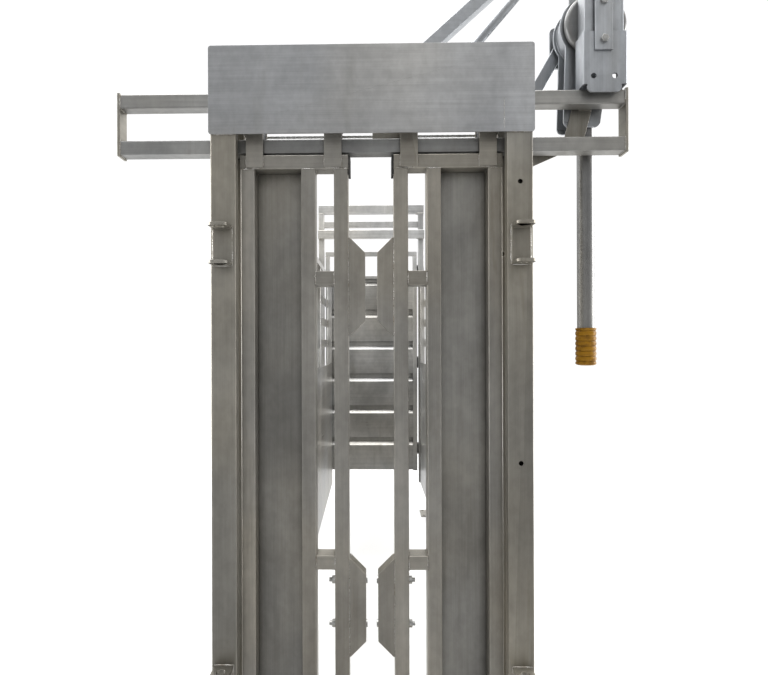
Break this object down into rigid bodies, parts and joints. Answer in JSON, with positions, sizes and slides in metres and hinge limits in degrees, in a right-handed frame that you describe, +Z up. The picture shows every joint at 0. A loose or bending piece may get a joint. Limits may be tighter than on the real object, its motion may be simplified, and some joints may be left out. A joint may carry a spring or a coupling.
{
  "type": "cattle squeeze chute",
  "caption": "Steel cattle squeeze chute with a lever-operated sliding head gate, neck pads, a squeezing side wall and a hinged rear gate.",
  "frame": {"origin": "on the floor at the middle of the head gate's threshold, level with the front faces of the two front posts", "axes": "+Z up, +Y from the head gate to the rear gate, +X to the right for a person facing the head gate"},
  "size_m": [1.6233, 2.462, 2.541],
  "materials": {
    "frame_steel": "weathered galvanised steel, satin",
    "header_steel": "weathered galvanised steel, satin",
    "leaf_steel": "weathered galvanised steel, satin",
    "sheet_steel": "weathered galvanised steel, satin",
    "rail_steel": "weathered galvanised steel, satin",
    "side_steel": "weathered galvanised steel, satin",
    "lever_steel": "weathered galvanised steel, satin",
    "zinc": "bright zinc plated",
    "grip": "ribbed mustard yellow grip",
    "rubber": "matt black",
    "roller_nylon": "turned black nylon"
  },
  "bodies": {
    "frame": {"base_plates": "frame_steel", "frame_brackets": "frame_steel", "front_posts": "frame_steel", "head_rails": "rail_steel", "header_plate": "header_steel", "hinge_lugs": "frame_steel", "lever_bracket": "lever_steel", "lock_disc": "lever_steel", "pivot_shaft": "zinc", "rail_braces": "frame_steel", "rear_cross_beams": "side_steel", "rear_jambs": "side_steel", "right_wall_rails": "side_steel", "right_wall_sheet": "side_steel", "right_wall_uprights": "side_steel", "side_rails": "side_steel", "side_uprights": "side_steel", "squeeze_bearings": "side_steel", "sync_chain": "zinc", "tower_bolts": "zinc", "tower_braces": "lever_steel", "tower_mast": "lever_steel", "tower_strap": "lever_steel"},
    "left_leaf": {"left_hangers": "leaf_steel", "left_leaf_bumper": "rubber", "left_leaf_fasteners": "zinc", "left_leaf_rails": "leaf_steel", "left_leaf_sheet": "sheet_steel", "left_leaf_stiles": "leaf_steel", "left_pads": "leaf_steel"},
    "right_leaf": {"right_hangers": "leaf_steel", "right_leaf_bumper": "rubber", "right_leaf_fasteners": "zinc", "right_leaf_rails": "leaf_steel", "right_leaf_sheet": "sheet_steel", "right_leaf_stiles": "leaf_steel", "right_pads": "leaf_steel"},
    "lever": {"lever_plates": "lever_steel", "lever_arm_bars": "lever_steel", "lever_handle": "lever_steel", "lever_grip": "grip"},
    "push_rod": {"push_rod": "lever_steel"},
    "squeeze_wall": {"squeeze_wall_rails": "side_steel", "squeeze_wall_uprights": "side_steel", "squeeze_wall_sheet": "side_steel", "squeeze_yokes": "side_steel", "squeeze_guide_rods": "side_steel"},
    "squeeze_lever": {"crank_shaft": "side_steel", "squeeze_handle": "side_steel", "squeeze_grip": "grip"},
    "rear_gate": {"gate_stiles": "side_steel", "gate_rails": "side_steel", "gate_sheet": "side_steel"},
    "gate_latch": {"latch_bolt": "zinc"},
    "left_sprocket": {"left_sprocket": "zinc"},
    "right_sprocket": {"right_sprocket": "zinc"},
    "left_inner_roller": {"left_inner_roller": "roller_nylon"},
    "left_outer_roller": {"left_outer_roller": "roller_nylon"},
    "right_inner_roller": {"right_inner_roller": "roller_nylon"},
    "right_outer_roller": {"right_outer_roller": "roller_nylon"}
  },
  "joints": [
    {"name": "head_lever", "type": "hinge", "parent": "frame", "child": "lever", "pos_m": [0.646, 0.132, 2.15], "axis": [0, -1, 0], "range_deg": [0, 38]},
    {"name": "left_leaf_slide", "type": "slide", "parent": "frame", "child": "left_leaf", "axis": [-1, 0, 0], "range_m": [0, 0.2865]},
    {"name": "right_leaf_slide", "type": "slide", "parent": "frame", "child": "right_leaf", "axis": [1, 0, 0], "range_m": [0, 0.2865]},
    {"name": "push_rod_pivot", "type": "hinge", "parent": "lever", "child": "push_rod", "pos_m": [0.625, 0.132, 2.516], "axis": [0, 1, 0], "range_deg": [0, 46]},
    {"name": "squeeze_lever_swing", "type": "hinge", "parent": "frame", "child": "squeeze_lever", "pos_m": [-0.47, 1.1, 0.92], "axis": [0, 1, 0], "range_deg": [-15, 30]},
    {"name": "squeeze_wall_slide", "type": "slide", "parent": "frame", "child": "squeeze_wall", "axis": [1, 0, 0], "range_m": [-0.064, 0.127]},
    {"name": "rear_gate_hinge", "type": "hinge", "parent": "frame", "child": "rear_gate", "pos_m": [0.331, 2.331, 1.1], "axis": [0, 0, -1], "range_deg": [0, 110]},
    {"name": "gate_latch_slide", "type": "slide", "parent": "rear_gate", "child": "gate_latch", "axis": [-1, 0, 0], "range_m": [0, 0.038]},
    {"name": "left_inner_roller_spin", "type": "hinge", "parent": "left_leaf", "child": "left_inner_roller", "pos_m": [-0.1065, 0.065, 1.835], "axis": [0, 1, 0], "range_deg": [-780, 780]},
    {"name": "left_outer_roller_spin", "type": "hinge", "parent": "left_leaf", "child": "left_outer_roller", "pos_m": [-0.326, 0.065, 1.835], "axis": [0, 1, 0], "range_deg": [-780, 780]},
    {"name": "left_sprocket_spin", "type": "hinge", "parent": "frame", "child": "left_sprocket", "pos_m": [-0.345, 0.104, 1.86], "axis": [0, 1, 0], "range_deg": [-950, 950]},
    {"name": "right_inner_roller_spin", "type": "hinge", "parent": "right_leaf", "child": "right_inner_roller", "pos_m": [0.1065, 0.065, 1.835], "axis": [0, 1, 0], "range_deg": [-780, 780]},
    {"name": "right_outer_roller_spin", "type": "hinge", "parent": "right_leaf", "child": "right_outer_roller", "pos_m": [0.326, 0.065, 1.835], "axis": [0, 1, 0], "range_deg": [-780, 780]},
    {"name": "right_sprocket_spin", "type": "hinge", "parent": "frame", "child": "right_sprocket", "pos_m": [0.345, 0.104, 1.86], "axis": [0, 1, 0], "range_deg": [-950, 950]}
  ],
  "couplings": [
    {"joint": "left_leaf_slide", "follows": "head_lever", "m_per_rad": 0.432},
    {"joint": "right_leaf_slide", "follows": "head_lever", "m_per_rad": 0.432},
    {"joint": "push_rod_pivot", "follows": "head_lever", "ratio": 1.188},
    {"joint": "squeeze_wall_slide", "follows": "squeeze_lever_swing", "m_per_rad": 0.24125},
    {"joint": "left_inner_roller_spin", "follows": "head_lever", "ratio": -19.636},
    {"joint": "left_outer_roller_spin", "follows": "head_lever", "ratio": -19.636},
    {"joint": "left_sprocket_spin", "follows": "head_lever", "ratio": -24},
    {"joint": "right_inner_roller_spin", "follows": "head_lever", "ratio": 19.636},
    {"joint": "right_outer_roller_spin", "follows": "head_lever", "ratio": 19.636},
    {"joint": "right_sprocket_spin", "follows": "head_lever", "ratio": -24}
  ]
}
